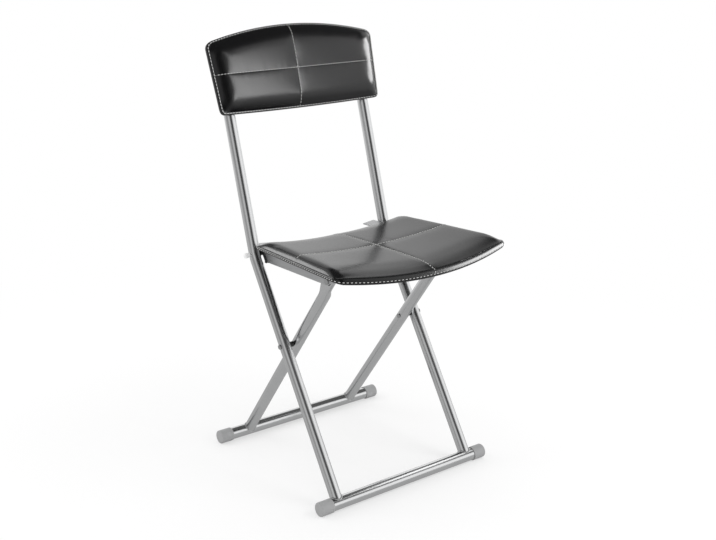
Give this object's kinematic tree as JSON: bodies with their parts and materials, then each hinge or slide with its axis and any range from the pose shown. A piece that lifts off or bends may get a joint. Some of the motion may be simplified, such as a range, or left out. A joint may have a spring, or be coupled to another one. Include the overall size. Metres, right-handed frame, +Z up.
{
  "type": "folding chair",
  "caption": "Folding chair with crossed steel tube legs, a dished padded seat that hooks onto the rear legs, and a padded backrest with a bowed top.",
  "frame": {"origin": "on the floor, below the middle of the whole chair's box", "axes": "+Z up, -Y towards the front of the seat, +X to the right as seen from the front"},
  "size_m": [0.3984, 0.4694, 0.8312],
  "materials": {
    "tube": "satin plated",
    "cap": "matte grey",
    "leather": "semi-gloss black leatherette",
    "board": "black cloth-lined board",
    "rail": "smooth silver-grey",
    "plastic": "matte black",
    "zinc": "zinc plated"
  },
  "bodies": {
    "back_frame": {"outer_leg_right": "tube", "outer_leg_left": "tube", "front_foot_bar": "tube", "front_foot_cap_right": "cap", "front_foot_cap_left": "cap", "upright_plug_right": "plastic", "upright_plug_left": "plastic", "rear_bolt_right": "zinc", "rear_bolt_left": "zinc", "rear_cap_nut_right": "zinc", "rear_cap_nut_left": "zinc", "hook_bush_right": "plastic", "hook_bush_left": "plastic", "pivot_bolt_right": "zinc", "pivot_bolt_left": "zinc", "pivot_nut_right": "zinc", "pivot_nut_left": "zinc", "pivot_spacer_right": "plastic", "pivot_spacer_left": "plastic", "backrest_board": "board", "backrest_cushion": "leather", "backrest_screw_lower_right": "zinc", "backrest_screw_lower_left": "zinc", "backrest_screw_upper_right": "zinc", "backrest_screw_upper_left": "zinc"},
    "leg_frame": {"inner_leg_right": "tube", "inner_leg_left": "tube", "rear_foot_bar": "tube", "rear_foot_cap_right": "cap", "rear_foot_cap_left": "cap", "hinge_rivet_right": "zinc", "hinge_rivet_left": "zinc", "hinge_washer_right": "plastic", "hinge_washer_left": "plastic"},
    "seat": {"seat_rail_right": "rail", "seat_rail_left": "rail", "hook_liner_right": "plastic", "hook_liner_left": "plastic", "seat_board": "board", "seat_cushion": "leather", "seat_screw_front_right": "zinc", "seat_screw_front_left": "zinc", "seat_screw_rear_right": "zinc", "seat_screw_rear_left": "zinc"}
  },
  "joints": [
    {"name": "leg_fold", "type": "hinge", "parent": "back_frame", "child": "leg_frame", "pos_m": [0, 0.00611, 0.26651], "axis": [-1, 0, 0], "range_deg": [0, 62]},
    {"name": "seat_swing", "type": "hinge", "parent": "leg_frame", "child": "seat", "pos_m": [0, -0.10831, 0.4245], "axis": [1, 0, 0], "range_deg": [0, 129]}
  ],
  "couplings": [
    {"joint": "seat_swing", "follows": "leg_fold", "ratio": 2.08}
  ]
}
